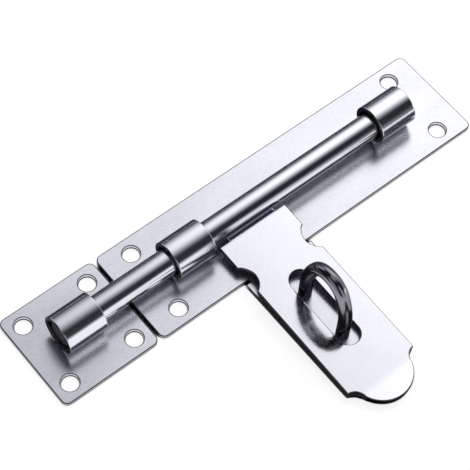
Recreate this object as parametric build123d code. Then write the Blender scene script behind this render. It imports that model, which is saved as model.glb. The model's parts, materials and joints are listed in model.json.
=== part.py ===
"""Sliding bolt with a padlock hasp, in pressed and rolled stainless steel sheet.

The base plate carries two rolled guide barrels and a wire staple on a side leg.
A round bolt runs through the guides into a third barrel on the keeper plate.
A hasp plate on the bolt drops over the staple and locks the bolt with a padlock.

X runs along the bolt towards the right guide and Z points away from the door.
The origin is the middle of the base plate's screw holes, on its back face.
All lengths are in millimetres.
"""

import os
from math import acos, atan, cos, degrees, sin

from build123d import *

# Sheet plates
plate_thickness = 1.4
plate_width = 40.0
plate_corner_radius = 2.5
base_length = 146.0
keeper_length = 40.4
keeper_gap = 1.2

# Screw holes
screw_hole_diameter = 6.5
hole_row_spacing = 27.3
base_hole_spacing = 122.6
keeper_hole_spacing = 27.5

# Bolt rod
rod_diameter = 10.0
rod_end_round = 0.8
rod_end_recess = 0.9

# Rolled barrels
barrel_play = 0.9
strap_thickness = 1.6
strap_edge_round = 0.35
barrel_length = 16.0
barrel_foot_width = 4.4
tail_length = 10.0
tail_clearance = 0.1
seam_gap = 0.3
left_guide_inset = 25.6
right_guide_inset = 26.5
keeper_barrel_inset = 20.8

# Side leg of the base plate, measured from the bolt's axis
leg_width = 30.0
leg_corner_distance = 75.8
leg_lobe_radius = 10.5
root_slit_length = 2.4
root_slit_width = 1.0

# Wire staple, set off from the middle of the hasp towards the keeper
staple_wire_diameter = 5.0
staple_distance = 46.3
staple_offset = 0.6
staple_leg_spacing = 20.2
staple_straight_height = 10.0
staple_flank_radius = 30.0
staple_crown_radius = 7.5
rivet_diameter = 3.8
rivet_head_diameter = 5.6
rivet_head_depth = 0.7
rivet_clearance = 0.1

# Hasp plate, measured from the bolt's axis
hasp_thickness = 1.5
hasp_width = 30.2
hasp_inset = 51.1
hasp_drop = 2.3
hasp_shoulder_distance = 5.7
hasp_corner_distance = 76.1
hasp_lobe_radius = 11.5
hasp_rest_gap = 0.3
hasp_corner_round = 0.7
tab_width = 21.2
tab_gap = 0.1
side_notch_radius = 6.3
side_notch_depth = 3.4
side_notch_distance = 21.6
end_notch_radius = 4.4
slot_side_clearance = 1.7
slot_inner_clearance = 4.8
slot_outer_clearance = 4.0

# Places that follow from the sizes above
rod_radius = rod_diameter / 2
bore_radius = rod_radius + barrel_play
barrel_radius = bore_radius + strap_thickness
axis_height = plate_thickness + barrel_radius
base_left = -base_length / 2
base_right = base_length / 2
keeper_right = base_left - keeper_gap
keeper_middle = keeper_right - keeper_length / 2
keeper_barrel_x = keeper_right - keeper_barrel_inset
left_guide_x = base_left + left_guide_inset
right_guide_x = base_right - right_guide_inset
hasp_x = base_left + hasp_inset
staple_x = hasp_x - staple_offset
rod_left = keeper_barrel_x - barrel_length / 2 + rod_end_recess
rod_right = right_guide_x + barrel_length / 2 - rod_end_recess
leg_reach = leg_corner_distance + leg_lobe_radius
wire_radius = staple_wire_diameter / 2
staple_legs = [
    -staple_distance + staple_leg_spacing / 2,
    -staple_distance - staple_leg_spacing / 2,
]
bolt_axis = Axis((0, 0, axis_height), (1, 0, 0))


def hole_places(middle_x, spacing_x):
    """Centres of four screw holes on a rectangle."""
    return [
        (middle_x + side_x * spacing_x / 2, side_y * hole_row_spacing / 2)
        for side_x in (-1, 1)
        for side_y in (-1, 1)
    ]


def lobed_end(middle_x, width, root, corner, lobe_radius):
    """Outline of a plate that runs to -Y and ends in two round notches and a lobe."""
    end = corner + end_notch_radius
    strip = Pos(middle_x, -(root + end) / 2) * Rectangle(width, end - root)
    notches = [
        Pos(middle_x + side * width / 2, -end) * Circle(end_notch_radius)
        for side in (-1, 1)
    ]
    lobe = Pos(middle_x, -corner) * Circle(lobe_radius)
    return strip - notches + lobe


def barrel_slot(middle_x):
    """Slot in a plate for the two tails of a barrel's strap."""
    slot_width = 2 * strap_thickness + seam_gap + 2 * tail_clearance
    return Pos(middle_x, 0) * Rectangle(tail_length + 2 * tail_clearance, slot_width)


def make_base_plate():
    plate = RectangleRounded(base_length, plate_width, plate_corner_radius)
    plate += lobed_end(hasp_x, leg_width, 0, leg_corner_distance, leg_lobe_radius)
    places = hole_places(0, base_hole_spacing)
    plate -= [Pos(*place) * Circle(screw_hole_diameter / 2) for place in places]
    plate -= [barrel_slot(left_guide_x), barrel_slot(right_guide_x)]
    slit_y = -plate_width / 2 - root_slit_width / 2
    for side in (-1, 1):
        slit_x = hasp_x + side * (leg_width / 2 - root_slit_length / 2)
        plate -= Pos(slit_x, slit_y) * Rectangle(root_slit_length, root_slit_width)
    solid = extrude(plate, plate_thickness)
    for leg_y in staple_legs:
        solid -= Pos(staple_x, leg_y) * rivet_space(rivet_clearance)
    return solid


def make_keeper_plate():
    plate = Pos(keeper_middle, 0) * RectangleRounded(keeper_length, plate_width, plate_corner_radius)
    places = hole_places(keeper_middle, keeper_hole_spacing)
    plate -= [Pos(*place) * Circle(screw_hole_diameter / 2) for place in places]
    plate -= barrel_slot(keeper_barrel_x)
    return extrude(plate, plate_thickness)


def make_barrel(middle_x):
    """Strap rolled round the bolt, its two tails side by side through the plate."""
    ring = Circle(barrel_radius)
    foot_height = barrel_radius - bore_radius
    foot = Pos(0, -barrel_radius + foot_height / 2) * Rectangle(barrel_foot_width, foot_height)
    section = ring + foot - Circle(bore_radius)
    body = extrude(Plane.YZ * section, barrel_length / 2, both=True)
    rims = body.edges().filter_by(GeomType.CIRCLE)
    body = fillet(rims, strap_edge_round)
    tails = Box(tail_length, 2 * strap_thickness + seam_gap, plate_thickness + strap_thickness / 2)
    tails = Pos(0, 0, -barrel_radius - plate_thickness / 2 + strap_thickness / 4) * tails
    seam = Pos(0, 0, -axis_height / 2 - bore_radius / 2) * Box(2 * barrel_length, seam_gap, axis_height)
    return Pos(middle_x, 0, axis_height) * (body + tails - seam)


def make_bolt_rod():
    rod = Cylinder(rod_radius, rod_right - rod_left, rotation=(0, 90, 0))
    rod = fillet(rod.edges().filter_by(GeomType.CIRCLE), rod_end_round)
    return Pos((rod_left + rod_right) / 2, 0, axis_height) * rod


def make_hasp_plate():
    """Flat plate with a saddle that meets the bolt, tipped until its end nears the leg."""
    outline = lobed_end(
        hasp_x, hasp_width, hasp_shoulder_distance, hasp_corner_distance, hasp_lobe_radius
    )
    outline += Pos(hasp_x, -hasp_shoulder_distance / 2) * Rectangle(tab_width, hasp_shoulder_distance)
    notch_offset = hasp_width / 2 + side_notch_radius - side_notch_depth
    for side in (-1, 1):
        outline -= Pos(hasp_x + side * notch_offset, -side_notch_distance) * Circle(side_notch_radius)
    corners = outline.vertices().filter_by(lambda v: abs(abs(v.X - hasp_x) - hasp_width / 2) < 0.01)
    outline = fillet(corners, hasp_corner_round)
    slot_width = staple_wire_diameter + 2 * slot_side_clearance
    slot_start = -staple_legs[0] - wire_radius - slot_inner_clearance
    slot_finish = -staple_legs[1] + wire_radius + slot_outer_clearance
    slot = SlotOverall(slot_finish - slot_start, slot_width, rotation=90)
    outline -= Pos(hasp_x, -(slot_start + slot_finish) / 2) * slot
    plate = Pos(0, 0, axis_height - hasp_drop - hasp_thickness) * extrude(outline, hasp_thickness)
    saddle = Cylinder(rod_radius + tab_gap, 2 * hasp_width, rotation=(0, 90, 0))
    plate -= Pos(hasp_x, 0, axis_height) * saddle
    fall = barrel_radius - hasp_drop - hasp_thickness - hasp_rest_gap
    return plate.rotate(bolt_axis, degrees(atan(fall / leg_reach)))


def rivet_space(clearance):
    """Shank and countersunk head of a riveted leg, with its back at Z = 0."""
    radius = rivet_diameter / 2 + clearance
    head_radius = rivet_head_diameter / 2 + clearance
    shank = extrude(Circle(radius), plate_thickness)
    head = Solid.make_cone(head_radius, radius, rivet_head_depth)
    return shank + head


def make_staple():
    """Round wire bent to a three-centred arch, with both legs riveted through the plate."""
    half = staple_leg_spacing / 2
    reach = staple_flank_radius - staple_crown_radius
    turn = acos((staple_flank_radius - half) / reach)
    crown_height = staple_straight_height + reach * sin(turn)
    flank_y = half - staple_flank_radius + staple_flank_radius * cos(turn)
    flank_z = staple_straight_height + staple_flank_radius * sin(turn)
    mid_y = half - staple_flank_radius + staple_flank_radius * cos(turn / 2)
    mid_z = staple_straight_height + staple_flank_radius * sin(turn / 2)
    top_z = crown_height + staple_crown_radius

    def leg_points(side):
        """Foot, bend, flank middle and flank end of one leg."""
        flank = [
            (half, plate_thickness),
            (half, staple_straight_height),
            (mid_y, mid_z),
            (flank_y, flank_z),
        ]
        return [(staple_x, side * y - staple_distance, z) for y, z in flank]

    near_foot, near_bend, near_middle, near_end = leg_points(1)
    far_foot, far_bend, far_middle, far_end = leg_points(-1)
    top = (staple_x, -staple_distance, top_z)
    path = Wire([
        Edge.make_line(near_foot, near_bend),
        Edge.make_three_point_arc(near_bend, near_middle, near_end),
        Edge.make_three_point_arc(near_end, top, far_end),
        Edge.make_three_point_arc(far_end, far_middle, far_bend),
        Edge.make_line(far_bend, far_foot),
    ])
    start = Plane(origin=near_foot, z_dir=(0, 0, 1))
    wire = sweep(start * Circle(wire_radius), path=path)
    for leg_y in staple_legs:
        wire += Pos(staple_x, leg_y) * rivet_space(0)
    return wire


nodes = {
    "base_plate": make_base_plate(),
    "guide_barrel_left": make_barrel(left_guide_x),
    "guide_barrel_right": make_barrel(right_guide_x),
    "keeper_plate": make_keeper_plate(),
    "keeper_barrel": make_barrel(keeper_barrel_x),
    "bolt_rod": make_bolt_rod(),
    "hasp_plate": make_hasp_plate(),
    "staple": make_staple(),
}

os.makedirs("parts", exist_ok=True)
for name, solid in nodes.items():
    export_step(solid, f"parts/{name}.step")
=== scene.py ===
"""Looks of a sliding bolt with a padlock hasp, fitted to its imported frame.

Satin sheet plates and hasp, polished rolled barrels, a drawn rod and a bent wire staple.
Lengths are in metres, in the frame's axes: X along the rod, Z away from the door.
"""

import json
from math import acos, asin, atan, cos, degrees, pi, radians, sin, sqrt

import bpy
import numpy as np
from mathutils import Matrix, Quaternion, Vector
from mathutils.geometry import tessellate_polygon


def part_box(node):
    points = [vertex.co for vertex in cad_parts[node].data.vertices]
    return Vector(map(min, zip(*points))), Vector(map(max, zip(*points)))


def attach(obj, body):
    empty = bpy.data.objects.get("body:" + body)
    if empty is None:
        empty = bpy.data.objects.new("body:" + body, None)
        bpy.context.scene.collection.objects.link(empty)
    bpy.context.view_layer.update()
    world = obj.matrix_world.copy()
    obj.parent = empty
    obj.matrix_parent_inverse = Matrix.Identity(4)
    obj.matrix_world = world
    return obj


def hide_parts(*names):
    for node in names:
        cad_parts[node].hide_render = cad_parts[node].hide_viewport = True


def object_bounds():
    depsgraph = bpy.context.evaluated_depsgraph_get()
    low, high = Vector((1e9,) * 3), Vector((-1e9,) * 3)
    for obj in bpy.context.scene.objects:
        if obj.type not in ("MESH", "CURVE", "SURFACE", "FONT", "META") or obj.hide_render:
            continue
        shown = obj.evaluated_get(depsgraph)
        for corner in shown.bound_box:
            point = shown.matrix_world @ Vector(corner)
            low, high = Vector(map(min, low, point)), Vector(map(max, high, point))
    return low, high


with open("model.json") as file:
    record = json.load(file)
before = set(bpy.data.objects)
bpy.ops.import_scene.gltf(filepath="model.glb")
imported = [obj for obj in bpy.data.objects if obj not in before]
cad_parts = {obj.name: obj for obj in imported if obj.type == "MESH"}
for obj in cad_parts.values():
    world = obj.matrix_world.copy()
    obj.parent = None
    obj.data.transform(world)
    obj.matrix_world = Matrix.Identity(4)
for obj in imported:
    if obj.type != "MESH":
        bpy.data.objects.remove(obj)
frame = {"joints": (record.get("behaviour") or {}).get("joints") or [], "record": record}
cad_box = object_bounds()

bl_info = {
    "name": "Sliding bolt",
    "version": (1, 0, 0),
    "blender": (4, 5, 0),
    "location": "3D View > Sidebar > Sliding bolt",
    "description": "Builds a stainless steel sliding bolt with a padlock hasp",
    "category": "Object",
}

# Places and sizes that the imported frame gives
base_low, base_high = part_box("base_plate")
keeper_low, keeper_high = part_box("keeper_plate")
rod_low, rod_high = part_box("bolt_rod")
staple_low, staple_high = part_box("staple")
hasp_low, hasp_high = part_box("hasp_plate")
mounts = {mount["name"]: mount for mount in frame["record"]["mounts"]}
hinge = next(joint for joint in frame["joints"] if joint["name"] == "hasp_swing")
hasp_x = hinge["pos_m"][0]
axis_height = hinge["pos_m"][2]
rod_radius = (rod_high.z - rod_low.z) / 2
sheet_thickness = base_high.z - base_low.z
staple_x = (staple_low.x + staple_high.x) / 2
staple_y = (staple_low.y + staple_high.y) / 2
staple_half_spacing = (staple_high.y - staple_low.y - staple_high.x + staple_low.x) / 2
barrels = {
    "keeper_strap": "keeper_barrel",
    "left_guide_strap": "guide_barrel_left",
    "right_guide_strap": "guide_barrel_right",
}

# How finely round shapes are cut
arc_steps = 24
circle_steps = 64
corner_steps = 8
round_steps = 5
bar_steps = 128
smooth_angle = radians(35)

# Place of the ring beside a rounded edge, as a share of the round
even_band = 0.2

# Grain of each finish
grain_depth = 0.0001
grain_detail = 3.0
noise_middle = 0.5
rolled_grain = {"Grain Scale": 1400, "Cloud Scale": 90, "Roughness Spread": 0.05, "Tone Spread": 0.30}
satin_grain = {"Grain Scale": 1500, "Cloud Scale": 80, "Roughness Spread": 0.12, "Tone Spread": 0.14}
polished_grain = {"Grain Scale": 900, "Cloud Scale": 25, "Roughness Spread": 0.06, "Tone Spread": 0.05}
drawn_grain = {"Grain Scale": 400, "Cloud Scale": 10, "Roughness Spread": 0.06, "Tone Spread": 0.05}

# Scale of each grain along X, Y and Z, where less draws it out
rolled_stretch = (0.3, 1, 1)
polished_stretch = (1, 8, 8)
drawn_stretch = (1, 12, 12)
even_stretch = (1, 1, 1)

# Shares of cut steel, whose dark colour is also painted shade on edges and bores: where it starts and ends
# to show, and what two kinds of edge have
cut_and_shade_ramp = (0.25, 0.6)
hasp_edge_share = 0.2
plate_wall_share = 0.4

# How open the floor is where its painted shade is full and where it ends, and the rays that find it out
narrow_gap = (0.44, 0.50)
gap_samples = 64

# Panels of the studio light. Over each span the light rises from none to full: across is the
# direction's X, without its sign for the side panels, and over is in degrees about the rod,
# from the back horizon to the front one. A span of four also gives the light at its two ends.
low_front = (152, 172)
left_side = [(0.20, -0.08), (-0.42, -0.20)]
overhead_panel = {
    "across": [(0.02, 0.17), (0.20, 0.44, 0.43, 1.0), (0.70, 0.85, 1.0, 0.35)],
    "over": [(-2, 60), (124, 66)],
}
front_panel = {"across": [(0.10, 0.26), (0.47, 0.28)], "over": [low_front]}
front_strip = {"across": [(0.50, 0.65), (0.90, 0.78)], "over": [low_front]}
side_panels = {"across": [(0.6, 0.85)], "over": [(50, 80)]}
left_back_panel = {"across": left_side, "over": [(0, 12), (52, 36)]}
left_top_panel = {"across": left_side, "over": [(76, 86), (110, 98)]}
left_front_panel = {"across": left_side, "over": [(122, 142)]}

# Plain colours, and the colour sockets of a mix node
black = (0.0, 0.0, 0.0, 1.0)
white = (1.0, 1.0, 1.0, 1.0)
mix_first = 6
mix_second = 7
mix_result = 2

# A millimetre in metres
millimetre = 0.001


def length(name, description, default):
    """A length that a user may change."""
    return bpy.props.FloatProperty(
        name=name, description=description, default=default, min=0, precision=5, unit="LENGTH"
    )


def share(name, description, default):
    """A plain number from 0 to 1."""
    return bpy.props.FloatProperty(
        name=name, description=description, default=default, min=0, max=1, subtype="FACTOR"
    )


def level(name, description, default):
    """A brightness, where 1 is white."""
    return bpy.props.FloatProperty(name=name, description=description, default=default, min=0)


def colour(name, description, default):
    """A linear colour."""
    return bpy.props.FloatVectorProperty(
        name=name, description=description, default=default, size=3, min=0, max=1, subtype="COLOR"
    )


def point(name, description, default):
    """A place in the frame's axes."""
    return bpy.props.FloatVectorProperty(
        name=name, description=description, default=default, size=3, subtype="TRANSLATION"
    )


class PlateSizes(bpy.types.PropertyGroup):
    """Sizes of the base plate, its side leg and the keeper plate."""

    corner_radius: length("Corner radius", "Round of the plates' corners", 0.0025)
    edge_round: length("Edge round", "Round of the sheared edges", 0.00035)
    leg_width: length("Leg width", "Width of the leg under the hasp", 0.030)
    leg_corner: length("Leg corner", "Rod axis to the leg's end corners", 0.0758)
    leg_lobe: length("Leg lobe", "Radius of the leg's round end", 0.0105)
    end_notch: length("End notch", "Radius of the notches beside the round end", 0.0044)
    slit_length: length("Slit length", "Depth of the slits at the leg's root", 0.0024)
    slit_width: length("Slit width", "Width of the slits at the leg's root", 0.001)


class BarrelSizes(bpy.types.PropertyGroup):
    """Sizes of the strap that is rolled into a barrel."""

    strap_thickness: length("Strap thickness", "Thickness of the rolled strap", 0.0016)
    foot_width: length("Foot width", "Width of the barrel's foot on the plate", 0.0044)
    seam_gap: length("Seam gap", "Gap between the strap's two tails", 0.0003)
    tail_length: length("Tail length", "Length of the tails along the rod", 0.010)
    tail_clearance: length("Tail clearance", "Gap between a tail and its slot", 0.0001)
    rim_round: length("Rim round", "Round of the barrel's end rims", 0.00035)


class RodSizes(bpy.types.PropertyGroup):
    """Sizes of the sliding rod."""

    end_round: length("End round", "Round of the rod's ends", 0.0008)


class StapleSizes(bpy.types.PropertyGroup):
    """Sizes of the wire staple."""

    wire_radius: length("Wire radius", "Radius of the wire", 0.0025)
    straight_height: length("Straight height", "Height of the legs' straight part", 0.010)
    flank_radius: length("Flank radius", "Radius of the arch's flanks", 0.030)
    crown_radius: length("Crown radius", "Radius of the arch's crown", 0.0075)
    rivet_radius: length("Rivet radius", "Radius of the riveted shank", 0.0019)
    head_radius: length("Head radius", "Radius of the rivet's head", 0.0028)
    head_depth: length("Head depth", "Depth of the rivet's head", 0.0007)
    rivet_clearance: length("Rivet clearance", "Gap round the rivet", 0.0001)


class HaspSizes(bpy.types.PropertyGroup):
    """Sizes of the hasp plate, measured from the rod's axis."""

    thickness: length("Thickness", "Thickness of the hasp", 0.0015)
    drop: length("Drop", "Rod axis down to the hasp's face", 0.0023)
    rest_gap: length("Rest gap", "Gap between the hasp's end and the leg", 0.0003)
    shoulder: length("Shoulder", "Rod axis to the hasp's shoulders", 0.0057)
    corner: length("Corner", "Rod axis to the hasp's end corners", 0.0761)
    lobe: length("Lobe", "Radius of the hasp's round end", 0.0115)
    corner_round: length("Corner round", "Round of the hasp's corners", 0.0007)
    edge_round: length("Edge round", "Round of the hasp's edges", 0.0005)
    tab_width: length("Tab width", "Width of the tab that meets the rod", 0.0212)
    tab_gap: length("Tab gap", "Gap between the tab and the rod", 0.0001)
    notch_radius: length("Notch radius", "Radius of the side notches", 0.0063)
    notch_depth: length("Notch depth", "Depth of the side notches", 0.0034)
    notch_distance: length("Notch distance", "Rod axis to the side notches", 0.0216)
    slot_width: length("Slot width", "Width of the slot for the staple", 0.0084)
    slot_start: length("Slot start", "Rod axis to the slot's near end", 0.0289)
    slot_finish: length("Slot finish", "Rod axis to the slot's far end", 0.0629)


class SteelFinish(bpy.types.PropertyGroup):
    """Colours and roughness of the steel pieces."""

    sheet_colour: colour("Sheet colour", "Satin sheet of the plates", (0.765, 0.77, 0.835))
    hasp_colour: colour("Hasp colour", "Satin sheet of the hasp", (0.76, 0.765, 0.82))
    strap_colour: colour("Strap colour", "Polished strap of the barrels", (0.82, 0.83, 0.88))
    rod_colour: colour("Rod colour", "Drawn bar of the rod", (0.78, 0.79, 0.84))
    wire_colour: colour("Wire colour", "Polished wire of the staple", (0.26, 0.26, 0.285))
    # Sheared edges of the plates, also used as painted shade lines on their rounds
    plate_cut_and_shade_colour: colour("Plate cut and shade colour", "Sheared edges and painted edge shade of the plates", (0.14, 0.14, 0.15))
    # Sheared edges of the hasp, darkened further as painted shade
    hasp_cut_and_shade_colour: colour("Hasp cut and shade colour", "Sheared edges and painted edge shade of the hasp", (0.08, 0.08, 0.09))
    # Sheared ends of the barrels darkened as painted shade, and painted shade in their bores
    strap_cut_and_shade_colour: colour("Strap cut and shade colour", "Sheared ends, and painted shade in the bores, of the barrels", (0.09, 0.09, 0.10))
    rod_cut_colour: colour("Rod cut colour", "Cut ends of the rod", (0.36, 0.36, 0.38))
    # Heat tint of the weld with painted shade: darker and bluer next to the rod
    heat_tint_and_shade_colour: colour("Heat tint and shade colour", "Heat tint and painted shade where the hasp meets the rod", (0.58, 0.62, 0.76))
    # Painted highlight: a brighter colour on the hasp's end, and where it starts and where it is full
    painted_highlight_colour: colour("Painted highlight colour", "Bright end of the hasp", (0.90, 0.905, 0.94))
    painted_highlight_start: length("Painted highlight start", "Rod axis to where the hasp's end turns bright", 0.077)
    painted_highlight_finish: length("Painted highlight finish", "Rod axis to where the hasp's end is fully bright", 0.081)
    heat_tint_and_shade_reach: length("Heat tint and shade reach", "Rod axis to the end of the heat tint and painted shade", 0.0075)
    sheet_rim: share("Sheet rim", "Glancing reflection of the plates", 0.6)
    hasp_rim: share("Hasp rim", "Glancing reflection of the hasp", 0.9)
    bar_rim: share("Bar rim", "Glancing reflection of the rod and barrels", 0.8)
    wire_rim: share("Wire rim", "Glancing reflection of the staple", 0.3)
    sheet_roughness: share("Sheet roughness", "Roughness of the plates", 0.27)
    hasp_roughness: share("Hasp roughness", "Roughness of the hasp", 0.11)
    strap_roughness: share("Strap roughness", "Roughness of the barrels", 0.17)
    rod_roughness: share("Rod roughness", "Roughness of the rod", 0.17)
    wire_roughness: share("Wire roughness", "Roughness of the staple", 0.17)
    cut_roughness: share("Cut roughness", "Extra roughness of cut faces", 0.2)
    grain_relief: share("Grain relief", "Strength of the grain's bump", 0.005)
    hasp_relief: share("Hasp relief", "Strength of the hasp's grain", 0.08)


class StudioSettings(bpy.types.PropertyGroup):
    """Camera, light and floor."""

    camera_place: point("Camera place", "Where the camera stands", (-0.24526, -0.23270, 0.54688))
    camera_target: point("Camera target", "Where the camera looks", (-0.02660, -0.00226, 0.0))
    camera_roll: bpy.props.FloatProperty(
        name="Camera roll", description="Turn about the view axis", default=radians(5.18), subtype="ANGLE"
    )
    camera_lens: bpy.props.FloatProperty(
        name="Camera lens",
        description="Focal length on a 36 mm sensor",
        default=135.0,
        subtype="DISTANCE_CAMERA",
    )
    floor_size: length("Floor size", "Side of the floor", 8.0)
    floor_drop: length("Floor drop", "Gap under the plates", 0.0002)
    floor_colour: colour("Floor colour", "Colour of the floor", (0.6, 0.6, 0.6))
    floor_glow: level("Floor glow", "White that the floor shows to the camera", 0.8)
    crowd_distance: length("Crowd distance", "How near a piece darkens the floor", 0.005)
    card_colour: colour("Card colour", "Colour of the dark cards", (0.06, 0.06, 0.07))
    card_roughness: share("Card roughness", "Roughness of the dark cards", 0.9)
    card_gap: length("Card gap", "Gap between the plates and the dark cards", 0.002)
    card_reach: length("Card reach", "How far the back card runs past the plates", 0.5)
    front_card_side: length("Front card side", "How far the front card stands out beside the hasp", 0.005)
    front_card_depth: length("Front card depth", "How far the front card runs past the hasp", 0.06)
    right_card_width: length("Right card width", "Width of the card before the right guide", 0.08)
    right_card_depth: length("Right card depth", "Depth of the card before the right guide", 0.045)
    dim_colour: colour("Dim colour", "Tint of the dim parts of the room", (0.86, 0.91, 1.0))
    room_level: level("Room level", "Light from the room all round", 0.02)
    overhead_level: level("Overhead level", "Light from the broad panel above", 1.45)
    front_level: level("Front level", "Light from the low panel in front", 1.3)
    strip_level: level("Strip level", "Light from the narrow strip at the front corner", 3.0)
    left_level: level("Left level", "Light from the broad panels on the left", 0.85)
    panel_level: level("Panel level", "Light from the side panels", 0.6)


def arc(centre, radius, start, finish, count=arc_steps):
    """Arc of a circle: centre plus radius times cosine and sine of even angles, in degrees."""
    angles = np.radians(np.linspace(start, finish, count))
    return np.array(centre) + radius * np.column_stack((np.cos(angles), np.sin(angles)))


def hole(centre, radius):
    """Circle that runs clockwise, with the sheet outside it."""
    return arc(centre, radius, 360, 0, circle_steps + 1)[:-1]


def rectangle_hole(centre, size_x, size_y):
    """Rectangle that runs clockwise, with the sheet outside it."""
    corners = np.array([(-1, -1), (-1, 1), (1, 1), (1, -1)]) / 2
    return np.array(centre) + corners * (size_x, size_y)


def round_edge(thickness, radius, face_cut, wall_cut):
    """Section of an edge from the upper face down: a quarter circle, a wall and a quarter circle.

    Its columns are the inset from the outline, the height and the share of cut steel and painted
    edge shade, which runs from the face's to the wall's. A ring close to each round keeps the wall's shading
    even.
    """
    turn = np.linspace(1, 0, round_steps)
    inset = radius * (1 - np.cos(turn * pi / 2))
    rise = radius * (1 - np.sin(turn * pi / 2))
    cut = wall_cut + turn * (face_cut - wall_cut)
    wall = np.array([(0, radius * (1 + even_band), wall_cut)])
    quarter = np.concatenate((np.column_stack((inset, rise, cut)), wall))
    upper = quarter * (1, -1, 1) + (0, thickness, 0)
    return np.concatenate((upper, quarter[::-1]))


def lined_edge(thickness, radius, wall_cut):
    """Section of an edge whose rounds take the dark cut colour as a painted shade line, with a ring
    on each flat face that ends the line there."""
    ring = np.array([(radius * (1 + even_band), 0, 0)])
    return np.concatenate((ring + (0, thickness, 0), round_edge(thickness, radius, 1, wall_cut), ring))


def sink_edge(thickness, depth, widening):
    """Section of a straight hole that widens as a cone towards the lower face."""
    return np.array([(0, thickness, 0), (0, depth, 0), (widening, 0, 0)])


def outward(loop):
    """Mitred direction out of the sheet at each point of a loop that has the sheet on its left."""
    ahead = np.roll(loop, -1, axis=0) - loop
    ahead /= np.linalg.norm(ahead, axis=1, keepdims=True)
    behind = np.roll(ahead, 1, axis=0)
    both = ahead + behind
    right = np.column_stack((both[:, 1], -both[:, 0]))
    return right / (1 + np.sum(ahead * behind, axis=1, keepdims=True))


def ring_faces(rows, columns):
    """Quads between neighbouring rings of a grid whose columns close on themselves."""
    row = columns * np.arange(rows - 1)[:, None]
    here = np.arange(columns)[None]
    beside = np.roll(here, -1, axis=1)
    quads = np.stack((row + here, row + columns + here, row + columns + beside, row + beside), axis=-1)
    return quads.reshape(-1, 4)


def cap_faces(points, rings, upward):
    """Triangles that fill the flat area between rings, turned up or down."""
    index = np.concatenate(rings)
    triangles = index[np.array(tessellate_polygon([points[ring].tolist() for ring in rings]))]
    first, second, third = (points[triangles[:, corner], :2] for corner in range(3))
    along = second - first
    across = third - first
    turns_left = along[:, 0] * across[:, 1] - along[:, 1] * across[:, 0] > 0
    wrong = turns_left != upward
    triangles[wrong] = triangles[wrong][:, ::-1]
    return triangles


def sheet_surface(edges):
    """Closed sheet from outlines: each loop is carried down its own edge section, inset along
    the mitred normals, and the two flat faces are filled between the loops."""
    points = []
    cuts = []
    strips = []
    tops = []
    bottoms = []
    first = 0
    for loop, section in edges:
        inset, height, cut = section.T[:, :, None]
        rings = loop - inset[:, :, None] * outward(loop)
        height = np.broadcast_to(height, rings.shape[:2])
        points.append(np.dstack((rings, height)).reshape(-1, 3))
        cuts.append(np.broadcast_to(cut, rings.shape[:2]).ravel())
        strips.append(first + ring_faces(len(section), len(loop)))
        tops.append(first + np.arange(len(loop)))
        bottoms.append(tops[-1] + (len(section) - 1) * len(loop))
        first += len(section) * len(loop)
    points = np.concatenate(points)
    flats = np.concatenate((cap_faces(points, tops, True), cap_faces(points, bottoms, False)))
    return points, np.concatenate(cuts), np.concatenate(strips).tolist(), flats.tolist()


def swept_surface(centres, sides, uprights, radii, cuts, steps):
    """Round bar along a path: at each station, the centre plus the station's radius times cosine
    and sine of an angle along the side and upright directions. Flat discs close both ends."""
    angles = -2 * pi * np.arange(steps) / steps
    beside = np.cos(angles)[:, None] * sides[:, None]
    above = np.sin(angles)[:, None] * uprights[:, None]
    points = centres[:, None] + radii[:, None, None] * (beside + above)
    strips = ring_faces(len(centres), steps)
    ring = np.arange(steps)
    last = (len(centres) - 1) * steps + ring[::-1]
    discs = [ring.tolist(), last.tolist()]
    return points.reshape(-1, 3), np.repeat(cuts, steps), strips.tolist(), discs


def joined(surfaces):
    """Several surfaces as one, with each one's face numbers moved past the points before it."""
    points, cuts, strips, flats = zip(*surfaces)
    starts = np.cumsum([0] + [len(part) for part in points[:-1]])
    strips = [np.array(faces) + start for faces, start in zip(strips, starts)]
    flats = [np.array(faces) + start for faces, start in zip(flats, starts)]
    return (
        np.concatenate(points),
        np.concatenate(cuts),
        np.concatenate(strips).tolist(),
        np.concatenate(flats).tolist(),
    )


def add_piece(name, surface, material, body, node):
    """Puts a surface into the scene as a piece that stands for a CAD node."""
    points, cuts, strips, flats = surface
    mesh = bpy.data.meshes.new(name)
    mesh.from_pydata(points.tolist(), [], strips + flats)
    # The cut share marks cut steel and the painted shade on edges and bores
    mesh.attributes.new("cut", "FLOAT", "POINT").data.foreach_set("value", cuts)
    mesh.set_sharp_from_angle(angle=smooth_angle)
    mesh.polygons.foreach_set("use_smooth", np.arange(len(mesh.polygons)) < len(strips))
    mesh.materials.append(material)
    piece = bpy.data.objects.new(name, mesh)
    bpy.context.scene.collection.objects.link(piece)
    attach(piece, body)
    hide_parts(node)


def screw_holes(mount):
    """Four screw holes on the mount's rectangle."""
    dims = mount["dims"]
    half_x = dims["spacing_x_mm"] * millimetre / 2
    half_y = dims["spacing_y_mm"] * millimetre / 2
    radius = dims["hole_r_mm"] * millimetre
    middle = mount["pos_m"][0]
    return [
        hole((middle + side_x * half_x, side_y * half_y), radius)
        for side_x in (-1, 1)
        for side_y in (-1, 1)
    ]


def barrel_middle(node):
    """Middle of a barrel along the rod."""
    low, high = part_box(node)
    return (low.x + high.x) / 2


def tail_slot(node, sizes):
    """Slot in a plate for the two tails of a barrel's strap."""
    width = 2 * sizes.strap_thickness + sizes.seam_gap + 2 * sizes.tail_clearance
    return rectangle_hole((barrel_middle(node), 0), sizes.tail_length + 2 * sizes.tail_clearance, width)


def lobe_arc(middle, corner, notch, lobe):
    """Round end of a plate towards -Y, between the notches beside it."""
    lift = degrees(asin(notch / lobe))
    return arc((middle, -corner), lobe, 180 + lift, 360 - lift, circle_steps)


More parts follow.
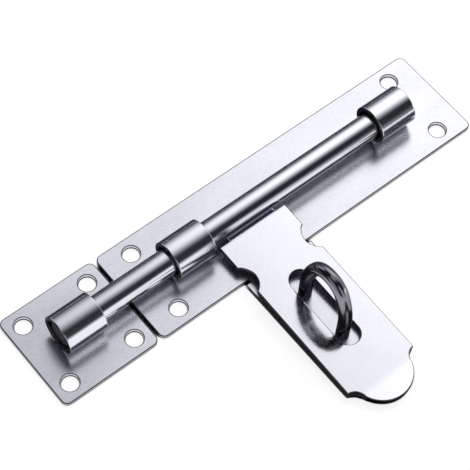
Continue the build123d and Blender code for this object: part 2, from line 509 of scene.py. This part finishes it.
def lobed_end(middle, half_width, corner, notch, lobe):
    """End of a plate towards -Y: a quarter-circle notch, a round lobe and a second notch."""
    end = -corner - notch
    return np.concatenate((
        arc((middle - half_width, end), notch, 90, 0),
        lobe_arc(middle, corner, notch, lobe),
        arc((middle + half_width, end), notch, 180, 90),
    ))


def plate_corners(middle, half_x, half_y, radius):
    """Four corner arcs of a plate, counter-clockwise from the one towards -X and -Y."""
    corners = {180: (-1, -1), 270: (1, -1), 360: (1, 1), 450: (-1, 1)}
    return [
        arc((middle + x * (half_x - radius), y * (half_y - radius)), radius, start, start + 90)
        for start, (x, y) in corners.items()
    ]


def plate_surface(outline, holes, plate, rivets=()):
    """Sheet with painted shade lines round its outline and holes, and rivet holes with their own edges."""
    # Painted shade: the rounds take the dark cut colour, and the outline's walls take it in part
    edge = lined_edge(sheet_thickness, plate.edge_round, plate_wall_share)
    rim = lined_edge(sheet_thickness, plate.edge_round, 0)
    return sheet_surface([(outline, edge), *((loop, rim) for loop in holes), *rivets])


def base_surface(plate, barrel, staple):
    """Base plate: a rectangle with round corners, a side leg with a lobed end, and its holes."""
    half_leg = plate.leg_width / 2
    edge_y = -base_high.y
    first_corner, *corners = plate_corners(0, base_high.x, base_high.y, plate.corner_radius)
    slit = np.array([
        (half_leg, edge_y - plate.slit_width),
        (half_leg - plate.slit_length, edge_y - plate.slit_width),
        (half_leg - plate.slit_length, edge_y),
    ])
    outline = np.concatenate((
        first_corner,
        (hasp_x, 0) + slit[::-1] * (-1, 1),
        lobed_end(hasp_x, half_leg, plate.leg_corner, plate.end_notch, plate.leg_lobe),
        (hasp_x, 0) + slit,
        *corners,
    ))
    slots = [tail_slot(node, barrel) for node in ("guide_barrel_left", "guide_barrel_right")]
    holes = screw_holes(mounts["base_screws"]) + slots
    sink = sink_edge(sheet_thickness, staple.head_depth, staple.head_radius - staple.rivet_radius)
    rivet_hole = staple.rivet_radius + staple.rivet_clearance
    rivets = [
        (hole((staple_x, staple_y + side * staple_half_spacing), rivet_hole), sink)
        for side in (-1, 1)
    ]
    return plate_surface(outline, holes, plate, rivets)


def keeper_surface(plate, barrel):
    """Keeper plate: a rectangle with round corners, four screw holes and a slot for the tails."""
    middle = (keeper_low.x + keeper_high.x) / 2
    half_x = (keeper_high.x - keeper_low.x) / 2
    outline = np.concatenate(plate_corners(middle, half_x, keeper_high.y, plate.corner_radius))
    holes = screw_holes(mounts["keeper_screws"]) + [tail_slot("keeper_barrel", barrel)]
    return plate_surface(outline, holes, plate)


def barrel_surface(node, sizes):
    """Rolled strap: a ring open at its seam, with a foot, drawn along the rod, and two tails."""
    low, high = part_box(node)
    radius = high.z - axis_height
    bore = radius - sizes.strap_thickness
    half_foot = sizes.foot_width / 2
    half_seam = sizes.seam_gap / 2
    foot_angle = degrees(asin(half_foot / radius))
    seam_angle = degrees(asin(half_seam / bore))
    outline = np.concatenate((
        arc((0, 0), radius, foot_angle - 90, 270 - foot_angle, bar_steps),
        [(-half_foot, -radius), (-half_seam, -radius)],
        arc((0, 0), bore, 270 - seam_angle, seam_angle - 90, bar_steps),
        [(half_seam, -radius), (half_foot, -radius)],
    ))
    points, cuts, *skin = sheet_surface([(outline, round_edge(high.x - low.x, sizes.rim_round, 1, 0))])
    # Painted shade: the bore is marked as cut, so it takes the dark cut colour like the sheared ends
    painted_bore_shade = np.hypot(points[:, 0], points[:, 1]) < (bore + radius) / 2
    cuts = np.maximum(cuts, painted_bore_shade)
    ring = np.column_stack((low.x + points[:, 2], points[:, 0], axis_height + points[:, 1]))
    tail_height = sheet_thickness + sizes.strap_thickness / 2
    plain_edge = np.array([(0, tail_height, 0), (0, 0, 0)])
    tails = [
        sheet_surface([(
            rectangle_hole(
                (barrel_middle(node), side * (half_seam + sizes.strap_thickness / 2)),
                sizes.tail_length,
                sizes.strap_thickness,
            )[::-1],
            plain_edge,
        )])
        for side in (-1, 1)
    ]
    return joined([(ring, cuts, *skin)] + tails)


def rod_surface(sizes):
    """Straight bar along X whose radius falls in a quarter circle at both ends."""
    end = round_edge(rod_high.x - rod_low.x, sizes.end_round, 1, 0)
    along = rod_low.x + end[::-1, 1]
    radii = rod_radius - end[:, 0]
    centres = np.column_stack((along, np.zeros_like(along), np.full_like(along, axis_height)))
    sides = np.tile((0.0, 1.0, 0.0), (len(along), 1))
    uprights = np.tile((0.0, 0.0, 1.0), (len(along), 1))
    return swept_surface(centres, sides, uprights, radii, end[:, 2], bar_steps)


def staple_surface(sizes):
    """Wire along a three-centred arch: straight legs, two flank arcs and a crown arc.

    Each leg ends in a thinner shank and a conical rivet head in the plate.
    """
    half = staple_half_spacing
    reach = sizes.flank_radius - sizes.crown_radius
    turn = degrees(acos((sizes.flank_radius - half) / reach))
    crown_height = sizes.straight_height + reach * sin(radians(turn))
    flank_middle = half - sizes.flank_radius
    leg_heights = np.array([0, sizes.head_depth, sheet_thickness, sheet_thickness, sizes.straight_height])
    wire = sizes.wire_radius
    leg_radii = np.array([sizes.head_radius, sizes.rivet_radius, sizes.rivet_radius, wire, wire])
    near_leg = np.column_stack((np.full_like(leg_heights, half), leg_heights))
    arch = np.concatenate((
        arc((flank_middle, sizes.straight_height), sizes.flank_radius, 0, turn)[1:],
        arc((0, crown_height), sizes.crown_radius, turn, 180 - turn, circle_steps)[1:-1],
        arc((-flank_middle, sizes.straight_height), sizes.flank_radius, 180 - turn, 180)[:-1],
    ))
    route = np.concatenate((near_leg, arch, near_leg[::-1] * (-1, 1)))
    heading = np.radians(np.concatenate((
        np.zeros_like(leg_heights),
        np.linspace(0, turn, arc_steps)[1:],
        np.linspace(turn, 180 - turn, circle_steps)[1:-1],
        np.linspace(180 - turn, 180, arc_steps)[:-1],
        np.full_like(leg_heights, 180),
    )))
    radii = np.concatenate((leg_radii, np.full(len(arch), wire), leg_radii[::-1]))
    centres = np.column_stack((np.full(len(route), staple_x), staple_y + route[:, 0], route[:, 1]))
    sides = np.tile((1.0, 0.0, 0.0), (len(route), 1))
    tangents = np.column_stack((np.zeros(len(route)), -np.sin(heading), np.cos(heading)))
    uprights = np.cross(tangents, sides)
    return swept_surface(centres, sides, uprights, radii, np.zeros(len(route)), circle_steps)


def hasp_side(sizes, end_notch):
    """Left half of the hasp's outline, from its tab to the notch beside the lobe.

    Straight sides meet the round notches in small arcs that touch both the side and the notch.
    """
    half = sizes.corner_round - (hasp_high.x - hasp_low.x) / 2
    side = half - sizes.corner_round
    notch_x = side - sizes.notch_radius + sizes.notch_depth
    notch_y = -sizes.notch_distance
    reach = sizes.notch_radius + sizes.corner_round
    rise = sqrt(reach**2 - (half - notch_x) ** 2)
    lean = degrees(asin(rise / reach))
    end_y = -sizes.corner - end_notch
    end_reach = end_notch + sizes.corner_round
    end_rise = sqrt(end_reach**2 - sizes.corner_round**2)
    end_lean = degrees(asin(end_rise / end_reach))
    return np.concatenate((
        [(-sizes.tab_width / 2, -rod_radius / 2), (-sizes.tab_width / 2, -sizes.shoulder)],
        arc((half, -sizes.shoulder - sizes.corner_round), sizes.corner_round, 90, 180, corner_steps),
        arc((half, notch_y + rise), sizes.corner_round, 180, 180 + lean, corner_steps),
        arc((notch_x, notch_y), sizes.notch_radius, lean, -lean)[1:-1],
        arc((half, notch_y - rise), sizes.corner_round, 180 - lean, 180, corner_steps),
        arc((half, end_y + end_rise), sizes.corner_round, 180, 180 + end_lean, corner_steps),
        arc((side, end_y), end_notch, end_lean, 0)[1:],
    ))


def hasp_surface(sizes, plate):
    """Hasp plate: a slotted outline with a hollow end that fits the rod, tipped about its axis."""
    left = hasp_side(sizes, plate.end_notch)
    lobe = lobe_arc(0, sizes.corner, plate.end_notch, sizes.lobe)
    outline = np.concatenate((left, lobe, left[::-1] * (-1, 1)))
    slot_radius = sizes.slot_width / 2
    slot = np.concatenate((
        arc((0, -sizes.slot_finish + slot_radius), slot_radius, 360, 180),
        arc((0, -sizes.slot_start - slot_radius), slot_radius, 180, 0),
    ))
    # The hasp's walls take the near-black cut colour in full: cut steel with painted shade along its edges
    edge = round_edge(sizes.thickness, sizes.edge_round, hasp_edge_share, 1)
    points, *skin = sheet_surface([(outline, edge), (slot, edge)])
    points[:, 2] -= sizes.drop + sizes.thickness
    tab = points[:, 1] > -sizes.shoulder + sizes.edge_round
    points[tab, 1] = -np.sqrt((rod_radius + sizes.tab_gap) ** 2 - points[tab, 2] ** 2)
    barrel_radius = axis_height - sheet_thickness
    fall = barrel_radius - sizes.drop - sizes.thickness - sizes.rest_gap
    tip = atan(fall / (plate.leg_corner + plate.leg_lobe))
    y = points[:, 1] * cos(tip) - points[:, 2] * sin(tip)
    z = points[:, 1] * sin(tip) + points[:, 2] * cos(tip)
    return np.column_stack((hasp_x + points[:, 0], y, axis_height + z)), *skin


def new_node(tree, kind, **settings):
    """Adds a node and sets its own options."""
    node = tree.nodes.new(kind)
    for name, value in settings.items():
        setattr(node, name, value)
    return node


def connect(tree, value, socket):
    """Links an output to a socket, or sets the socket to a plain value."""
    if isinstance(value, bpy.types.NodeSocket):
        tree.links.new(value, socket)
    else:
        socket.default_value = value


def calculate(tree, operation, first, second=0.0):
    """Math node on two values."""
    node = new_node(tree, "ShaderNodeMath", operation=operation)
    connect(tree, first, node.inputs[0])
    connect(tree, second, node.inputs[1])
    return node.outputs[0]


def product(tree, first, *others):
    """Product of several values."""
    for other in others:
        first = calculate(tree, "MULTIPLY", first, other)
    return first


def ramp(tree, value, low, high, start=0.0, finish=1.0):
    """Smooth rise from one value to another."""
    node = new_node(tree, "ShaderNodeMapRange", interpolation_type="SMOOTHSTEP")
    connect(tree, value, node.inputs["Value"])
    connect(tree, low, node.inputs["From Min"])
    connect(tree, high, node.inputs["From Max"])
    node.inputs["To Min"].default_value = start
    node.inputs["To Max"].default_value = finish
    return node.outputs["Result"]


def mixed(tree, factor, first, second, blend="MIX"):
    """Mix of two colours."""
    node = new_node(tree, "ShaderNodeMix", data_type="RGBA", blend_type=blend)
    connect(tree, factor, node.inputs["Factor"])
    connect(tree, first, node.inputs[mix_first])
    connect(tree, second, node.inputs[mix_second])
    return node.outputs[mix_result]


def new_group(name, inputs, outputs):
    """Node group with named sockets of the given kinds: its tree, what it is given and its result."""
    tree = bpy.data.node_groups.new(name, "ShaderNodeTree")
    for in_out, sockets in (("INPUT", inputs), ("OUTPUT", outputs)):
        for socket, kind in sockets.items():
            tree.interface.new_socket(socket, in_out=in_out, socket_type=f"NodeSocket{kind}")
    given = new_node(tree, "NodeGroupInput").outputs
    result = new_node(tree, "NodeGroupOutput").inputs
    return tree, given, result


def steel_grain():
    """Fine grain and soft clouds of rolled or drawn steel."""
    if "steel_grain" in bpy.data.node_groups:
        return bpy.data.node_groups["steel_grain"]
    inputs = {
        "Vector": "Vector",
        "Grain Scale": "Float",
        "Cloud Scale": "Float",
        "Roughness": "Float",
        "Roughness Spread": "Float",
        "Tone Spread": "Float",
    }
    outputs = {"Roughness": "Float", "Tone": "Float", "Height": "Float"}
    tree, given, result = new_group("steel_grain", inputs, outputs)
    grain = new_node(tree, "ShaderNodeTexNoise")
    connect(tree, given["Vector"], grain.inputs["Vector"])
    connect(tree, given["Grain Scale"], grain.inputs["Scale"])
    grain.inputs["Detail"].default_value = grain_detail
    cloud = new_node(tree, "ShaderNodeTexNoise")
    connect(tree, given["Vector"], cloud.inputs["Vector"])
    connect(tree, given["Cloud Scale"], cloud.inputs["Scale"])
    swings = [calculate(tree, "SUBTRACT", noise.outputs["Fac"], noise_middle) for noise in (grain, cloud)]
    swing = calculate(tree, "ADD", *swings)
    spread = calculate(tree, "MULTIPLY", swing, given["Roughness Spread"])
    connect(tree, calculate(tree, "ADD", given["Roughness"], spread), result["Roughness"])
    tone = calculate(tree, "MULTIPLY", swing, given["Tone Spread"])
    connect(tree, calculate(tree, "ADD", tone, 1.0), result["Tone"])
    connect(tree, grain.outputs["Fac"], result["Height"])
    return tree


def cut_steel_and_painted_shade():
    """Colour and roughness of steel that turn to those of a cut face by the share of cut steel; the dark cut
    colour is also painted shade on edges and bores.
    """
    if "cut_steel_and_painted_shade" in bpy.data.node_groups:
        return bpy.data.node_groups["cut_steel_and_painted_shade"]
    inputs = {
        "Color": "Color",
        "Cut And Shade Color": "Color",
        "Roughness": "Float",
        "Cut Roughness": "Float",
        "Share": "Float",
    }
    outputs = {"Color": "Color", "Roughness": "Float"}
    tree, given, result = new_group("cut_steel_and_painted_shade", inputs, outputs)
    mask = ramp(tree, given["Share"], *cut_and_shade_ramp)
    connect(tree, mixed(tree, mask, given["Color"], given["Cut And Shade Color"]), result["Color"])
    added = calculate(tree, "MULTIPLY", mask, given["Cut Roughness"])
    connect(tree, calculate(tree, "ADD", given["Roughness"], added), result["Roughness"])
    return tree


def place_group(tree, group, values):
    """Places a node group with its own values."""
    node = new_node(tree, "ShaderNodeGroup", node_tree=group)
    for name, value in values.items():
        node.inputs[name].default_value = value
    return node


def steel_material(name, steel_colour, rim, roughness, relief, grain_values, stretch):
    """Metal whose grain, stretched along the piece, varies its tone, roughness and relief.

    Rim is its reflection at a glancing angle, as a share of a plain metal's.
    """
    material = bpy.data.materials.new(name)
    material.use_nodes = True
    tree = material.node_tree
    shader = tree.nodes["Principled BSDF"]
    shader.inputs["Metallic"].default_value = 1.0
    shader.inputs["Specular Tint"].default_value = (rim, rim, rim, 1.0)
    place = new_node(tree, "ShaderNodeTexCoord")
    mapping = new_node(tree, "ShaderNodeMapping")
    connect(tree, place.outputs["Object"], mapping.inputs["Vector"])
    mapping.inputs["Scale"].default_value = stretch
    grain = place_group(tree, steel_grain(), {**grain_values, "Roughness": roughness})
    connect(tree, mapping.outputs["Vector"], grain.inputs["Vector"])
    toned = mixed(tree, 1.0, (*steel_colour, 1.0), grain.outputs["Tone"], "MULTIPLY")
    connect(tree, toned, shader.inputs["Base Color"])
    connect(tree, grain.outputs["Roughness"], shader.inputs["Roughness"])
    bump = new_node(tree, "ShaderNodeBump")
    bump.inputs["Strength"].default_value = relief
    bump.inputs["Distance"].default_value = grain_depth
    connect(tree, grain.outputs["Height"], bump.inputs["Height"])
    connect(tree, bump.outputs["Normal"], shader.inputs["Normal"])
    return material


def tint(material, mask, tint_colour):
    """Blends a colour over a material's own where the mask says."""
    tree = material.node_tree
    socket = tree.nodes["Principled BSDF"].inputs["Base Color"]
    under = socket.links[0].from_socket
    connect(tree, mixed(tree, mask, under, (*tint_colour, 1.0)), socket)


def darken_cuts_and_paint_shade(material, cut_and_shade_colour, cut_roughness):
    """Makes the faces that were cut dark and dull, and paints shade on the edges and bores that the cut
    share marks.
    """
    tree = material.node_tree
    shader = tree.nodes["Principled BSDF"]
    attribute = new_node(tree, "ShaderNodeAttribute", attribute_name="cut")
    values = {"Cut And Shade Color": (*cut_and_shade_colour, 1.0), "Cut Roughness": cut_roughness}
    cut = place_group(tree, cut_steel_and_painted_shade(), values)
    connect(tree, attribute.outputs["Fac"], cut.inputs["Share"])
    for socket_name, name in (("Base Color", "Color"), ("Roughness", "Roughness")):
        socket = shader.inputs[socket_name]
        connect(tree, socket.links[0].from_socket, cut.inputs[name])
        connect(tree, cut.outputs[name], socket)


def tint_hasp(material, finish):
    """Heat tint with painted shade that fades away from the rod, and a painted highlight that makes the
    hasp's end brighter.
    """
    tree = material.node_tree
    place = new_node(tree, "ShaderNodeTexCoord")
    split = new_node(tree, "ShaderNodeSeparateXYZ")
    connect(tree, place.outputs["Object"], split.inputs[0])
    # Heat tint and painted shade: the hasp turns darker and bluer next to the rod, standing in for the rod's
    # dark reflection and the gap beside it
    heat = ramp(tree, split.outputs["Y"], -finish.heat_tint_and_shade_reach, -rod_radius)
    tint(material, heat, finish.heat_tint_and_shade_colour)
    # Painted highlight: the hasp's end turns brighter in colour towards its tip
    highlight_mask = ramp(tree, split.outputs["Y"], -finish.painted_highlight_start, -finish.painted_highlight_finish)
    tint(material, highlight_mask, finish.painted_highlight_colour)


def panel_light(tree, across, angle, panel, strength):
    """Light of one panel: its strength times a smooth rise over each of its spans."""
    rises = [ramp(tree, across, *span) for span in panel["across"]]
    rises += [ramp(tree, angle, radians(low), radians(high)) for low, high in panel["over"]]
    return product(tree, *rises, strength)


def light_world(settings):
    """Studio light by direction: a dim room, a broad soft panel behind and above, a low panel and
    a strip in front, a panel at each side and three panels on the left."""
    world = bpy.data.worlds.new("studio_light")
    bpy.context.scene.world = world
    world.use_nodes = True
    tree = world.node_tree
    place = new_node(tree, "ShaderNodeTexCoord")
    direction = new_node(tree, "ShaderNodeSeparateXYZ")
    connect(tree, place.outputs["Generated"], direction.inputs[0])
    across = direction.outputs["X"]
    aside = calculate(tree, "ABSOLUTE", across)
    angle = calculate(tree, "ARCTAN2", direction.outputs["Z"], direction.outputs["Y"])
    lights = (
        (across, overhead_panel, settings.overhead_level),
        (across, front_panel, settings.front_level),
        (across, front_strip, settings.strip_level),
        (aside, side_panels, settings.panel_level),
        (across, left_back_panel, settings.left_level),
        (across, left_top_panel, settings.left_level),
        (across, left_front_panel, settings.left_level),
    )
    total = settings.room_level
    for side, panel, strength in lights:
        total = calculate(tree, "ADD", panel_light(tree, side, angle, panel, strength), total)
    background = tree.nodes["Background"]
    connect(tree, total, background.inputs["Strength"])
    tone = mixed(tree, total, (*settings.dim_colour, 1.0), white)
    connect(tree, tone, background.inputs["Color"])


def stage_plane(name, low, high, height, material):
    """Flat rectangle that belongs to the stage."""
    (left, front), (right, back) = low, high
    corners = [(left, front, height), (right, front, height), (right, back, height), (left, back, height)]
    mesh = bpy.data.meshes.new(name)
    mesh.from_pydata(corners, [], [(0, 1, 2, 3)])
    mesh.materials.append(material)
    plane = bpy.data.objects.new(name, mesh)
    bpy.context.scene.collection.objects.link(plane)
    return plane


def add_floor(settings):
    """Pale floor that shows white to the camera and in reflections, with painted shade that makes it dark in
    narrow gaps.
    """
    material = bpy.data.materials.new("pale_floor")
    material.use_nodes = True
    tree = material.node_tree
    tree.nodes.clear()
    path = new_node(tree, "ShaderNodeLightPath")
    seen = calculate(tree, "MAXIMUM", path.outputs["Is Camera Ray"], path.outputs["Is Glossy Ray"])
    seen = calculate(tree, "MAXIMUM", seen, path.outputs["Is Transmission Ray"])
    # Painted shade: the floor's glow and colour fall to black where pieces crowd it, as in the gap between
    # the plates
    crowd = new_node(tree, "ShaderNodeAmbientOcclusion", samples=gap_samples)
    crowd.inputs["Distance"].default_value = settings.crowd_distance
    openness = ramp(tree, crowd.outputs["AO"], *narrow_gap)
    glow = new_node(tree, "ShaderNodeEmission")
    connect(tree, product(tree, seen, openness, settings.floor_glow), glow.inputs["Strength"])
    matte = new_node(tree, "ShaderNodeBsdfDiffuse")
    shade = mixed(tree, openness, black, (*settings.floor_colour, 1.0))
    connect(tree, shade, matte.inputs["Color"])
    total = new_node(tree, "ShaderNodeAddShader")
    connect(tree, glow.outputs[0], total.inputs[0])
    connect(tree, matte.outputs[0], total.inputs[1])
    output = new_node(tree, "ShaderNodeOutputMaterial")
    connect(tree, total.outputs[0], output.inputs["Surface"])
    half = settings.floor_size / 2
    stage_plane("floor", (-half, -half), (half, half), -settings.floor_drop, material)


def add_dark_cards(settings):
    """Dark cards on the floor behind, before and beside the plates, seen in reflections alone."""
    material = bpy.data.materials.new("dark_card")
    material.use_nodes = True
    shader = material.node_tree.nodes["Principled BSDF"]
    shader.inputs["Base Color"].default_value = (*settings.card_colour, 1.0)
    shader.inputs["Roughness"].default_value = settings.card_roughness
    reach = settings.card_reach
    gap = settings.card_gap
    back_low = (cad_box[0].x - reach, base_high.y + gap)
    back_high = (cad_box[1].x + reach, base_high.y + reach)
    front_low = (hasp_low.x - settings.front_card_side, hasp_low.y - settings.front_card_depth)
    front_high = (hasp_high.x, -base_high.y - gap)
    guide_x = barrel_middle("guide_barrel_right")
    right_low = (guide_x, front_high[1] - settings.right_card_depth)
    right_high = (guide_x + settings.right_card_width, front_high[1])
    cards = {
        "back_card": (back_low, back_high),
        "front_card": (front_low, front_high),
        "right_card": (right_low, right_high),
    }
    for name, (low, high) in cards.items():
        card = stage_plane(name, low, high, -settings.floor_drop / 2, material)
        card.visible_camera = False
        card.visible_diffuse = False
        card.visible_shadow = False


def add_camera(settings):
    """Camera at the photograph's viewing angle."""
    lens = bpy.data.cameras.new("camera")
    lens.lens = settings.camera_lens
    camera = bpy.data.objects.new("camera", lens)
    bpy.context.scene.collection.objects.link(camera)
    place = Vector(settings.camera_place)
    view = Vector(settings.camera_target) - place
    camera.location = place
    camera.rotation_mode = "QUATERNION"
    camera.rotation_quaternion = view.to_track_quat("-Z", "Y") @ Quaternion((0, 0, 1), settings.camera_roll)
    bpy.context.scene.camera = camera


class MakePlates(bpy.types.Operator):
    """Builds the base plate with its leg, and the keeper plate"""

    bl_idname = "sliding_bolt.plates"
    bl_label = "Base and keeper plates"

    def execute(self, context):
        scene = context.scene
        finish = scene.steel_finish
        satin = steel_material(
            "satin_sheet",
            finish.sheet_colour,
            finish.sheet_rim,
            finish.sheet_roughness,
            finish.grain_relief,
            rolled_grain,
            rolled_stretch,
        )
        darken_cuts_and_paint_shade(satin, finish.plate_cut_and_shade_colour, finish.cut_roughness)
        base = base_surface(scene.plate_sizes, scene.barrel_sizes, scene.staple_sizes)
        add_piece("base_sheet", base, satin, "base", "base_plate")
        keeper = keeper_surface(scene.plate_sizes, scene.barrel_sizes)
        add_piece("keeper_sheet", keeper, satin, "base", "keeper_plate")
        return {"FINISHED"}


class MakeBarrels(bpy.types.Operator):
    """Builds the three rolled barrels that hold the rod"""

    bl_idname = "sliding_bolt.barrels"
    bl_label = "Rolled barrels"

    def execute(self, context):
        scene = context.scene
        finish = scene.steel_finish
        polished = steel_material(
            "polished_strap",
            finish.strap_colour,
            finish.bar_rim,
            finish.strap_roughness,
            finish.grain_relief,
            polished_grain,
            polished_stretch,
        )
        darken_cuts_and_paint_shade(polished, finish.strap_cut_and_shade_colour, finish.cut_roughness)
        for name, node in barrels.items():
            surface = barrel_surface(node, scene.barrel_sizes)
            add_piece(name, surface, polished, "base", node)
        return {"FINISHED"}


class MakeRod(bpy.types.Operator):
    """Builds the sliding rod"""

    bl_idname = "sliding_bolt.rod"
    bl_label = "Sliding rod"

    def execute(self, context):
        scene = context.scene
        finish = scene.steel_finish
        drawn = steel_material(
            "drawn_bar",
            finish.rod_colour,
            finish.bar_rim,
            finish.rod_roughness,
            finish.grain_relief,
            drawn_grain,
            drawn_stretch,
        )
        darken_cuts_and_paint_shade(drawn, finish.rod_cut_colour, finish.cut_roughness)
        add_piece("sliding_bar", rod_surface(scene.rod_sizes), drawn, "bolt", "bolt_rod")
        return {"FINISHED"}


class MakeHasp(bpy.types.Operator):
    """Builds the hasp plate that drops over the staple"""

    bl_idname = "sliding_bolt.hasp"
    bl_label = "Hasp plate"

    def execute(self, context):
        scene = context.scene
        finish = scene.steel_finish
        satin = steel_material(
            "satin_hasp_sheet",
            finish.hasp_colour,
            finish.hasp_rim,
            finish.hasp_roughness,
            finish.hasp_relief,
            satin_grain,
            even_stretch,
        )
        tint_hasp(satin, finish)
        darken_cuts_and_paint_shade(satin, finish.hasp_cut_and_shade_colour, finish.cut_roughness)
        surface = hasp_surface(scene.hasp_sizes, scene.plate_sizes)
        add_piece("hasp_sheet", surface, satin, "hasp", "hasp_plate")
        return {"FINISHED"}


class MakeStaple(bpy.types.Operator):
    """Builds the wire staple for the padlock"""

    bl_idname = "sliding_bolt.staple"
    bl_label = "Wire staple"

    def execute(self, context):
        scene = context.scene
        finish = scene.steel_finish
        polished = steel_material(
            "polished_staple_wire",
            finish.wire_colour,
            finish.wire_rim,
            finish.wire_roughness,
            finish.grain_relief,
            polished_grain,
            even_stretch,
        )
        surface = staple_surface(scene.staple_sizes)
        add_piece("staple_wire", surface, polished, "base", "staple")
        return {"FINISHED"}


class MakeStudio(bpy.types.Operator):
    """Builds the floor, the light and the camera"""

    bl_idname = "sliding_bolt.studio"
    bl_label = "Floor, light and camera"

    def execute(self, context):
        settings = context.scene.studio_settings
        context.scene.view_settings.view_transform = "Standard"
        light_world(settings)
        add_floor(settings)
        add_dark_cards(settings)
        add_camera(settings)
        return {"FINISHED"}


groups = {
    "plate_sizes": PlateSizes,
    "barrel_sizes": BarrelSizes,
    "rod_sizes": RodSizes,
    "staple_sizes": StapleSizes,
    "hasp_sizes": HaspSizes,
    "steel_finish": SteelFinish,
    "studio_settings": StudioSettings,
}
operators = (MakePlates, MakeBarrels, MakeRod, MakeHasp, MakeStaple, MakeStudio)


class SlidingBoltPanel(bpy.types.Panel):
    """Lists the pieces of the sliding bolt and their sizes"""

    bl_idname = "VIEW3D_PT_sliding_bolt"
    bl_label = "Sliding bolt"
    bl_space_type = "VIEW_3D"
    bl_region_type = "UI"
    bl_category = "Sliding bolt"

    def draw(self, context):
        for operator in operators:
            self.layout.operator(operator.bl_idname)
        for name, group in groups.items():
            box = self.layout.box()
            box.label(text=name.replace("_", " ").capitalize())
            for size in group.__annotations__:
                box.prop(getattr(context.scene, name), size)


def register():
    for name, group in groups.items():
        bpy.utils.register_class(group)
        setattr(bpy.types.Scene, name, bpy.props.PointerProperty(type=group))
    for operator in operators:
        bpy.utils.register_class(operator)
    bpy.utils.register_class(SlidingBoltPanel)


def unregister():
    bpy.utils.unregister_class(SlidingBoltPanel)
    for operator in reversed(operators):
        bpy.utils.unregister_class(operator)
    for name, group in reversed(groups.items()):
        delattr(bpy.types.Scene, name)
        bpy.utils.unregister_class(group)


def main():
    register()
    bpy.ops.sliding_bolt.plates()
    bpy.ops.sliding_bolt.barrels()
    bpy.ops.sliding_bolt.rod()
    bpy.ops.sliding_bolt.hasp()
    bpy.ops.sliding_bolt.staple()
    bpy.ops.sliding_bolt.studio()


if __name__ == "__main__":
    main()
